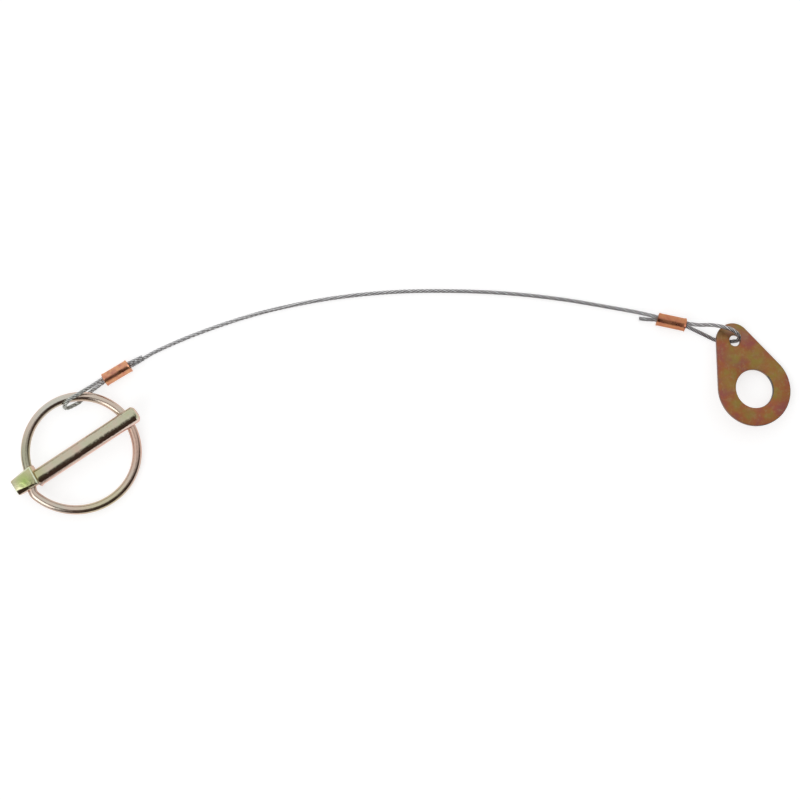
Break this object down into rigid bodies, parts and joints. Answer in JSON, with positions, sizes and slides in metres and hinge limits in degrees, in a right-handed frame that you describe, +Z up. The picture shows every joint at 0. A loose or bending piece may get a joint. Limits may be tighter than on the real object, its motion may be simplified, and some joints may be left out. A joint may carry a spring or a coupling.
{
  "type": "lynch pin",
  "caption": "Lynch pin: forged head and round shank with a sprung wire ring, tethered by a wire rope lanyard with crimped sleeves to a flat tab with a large and a small hole",
  "frame": {"origin": "On the table under the middle of the whole object as it lies flat", "axes": "+X along the lanyard from the pin to the tab, +Y across it, +Z up from the table"},
  "size_m": [0.2874, 0.0833, 0.0113],
  "materials": {
    "pin_zinc": "yellow-green passivated zinc on forged steel",
    "ring_zinc": "yellow passivated zinc on bright spring wire",
    "galvanised_rope": "galvanised twisted steel wire rope",
    "copper": "bright crimped copper",
    "tab_zinc": "iridescent yellow dichromate zinc on stamped steel"
  },
  "bodies": {
    "ring": {"ring": "ring_zinc"},
    "pin": {"pin": "pin_zinc"},
    "lanyard": {"cable": "galvanised_rope", "ferrule_ring_end": "copper", "ferrule_tab_end": "copper"},
    "tab": {"tab": "tab_zinc"}
  },
  "joints": [
    {"name": "ring_hinge", "type": "hinge", "parent": "ring", "child": "pin", "pos_m": [-0.1371, -0.0222, 0.00472], "axis": [0.1977, -0.98, -0.0225], "range_deg": [0, 175]},
    {"name": "eye_swivel", "type": "hinge", "parent": "ring", "child": "lanyard", "pos_m": [-0.1189, 0.0082, 0.0034], "axis": [0, 0, 1], "range_deg": [0, 90]},
    {"name": "tab_swivel", "type": "hinge", "parent": "lanyard", "child": "tab", "pos_m": [0.1228, 0.02873, 0.00251], "axis": [0, 0, 1], "range_deg": [-45, 40]}
  ]
}
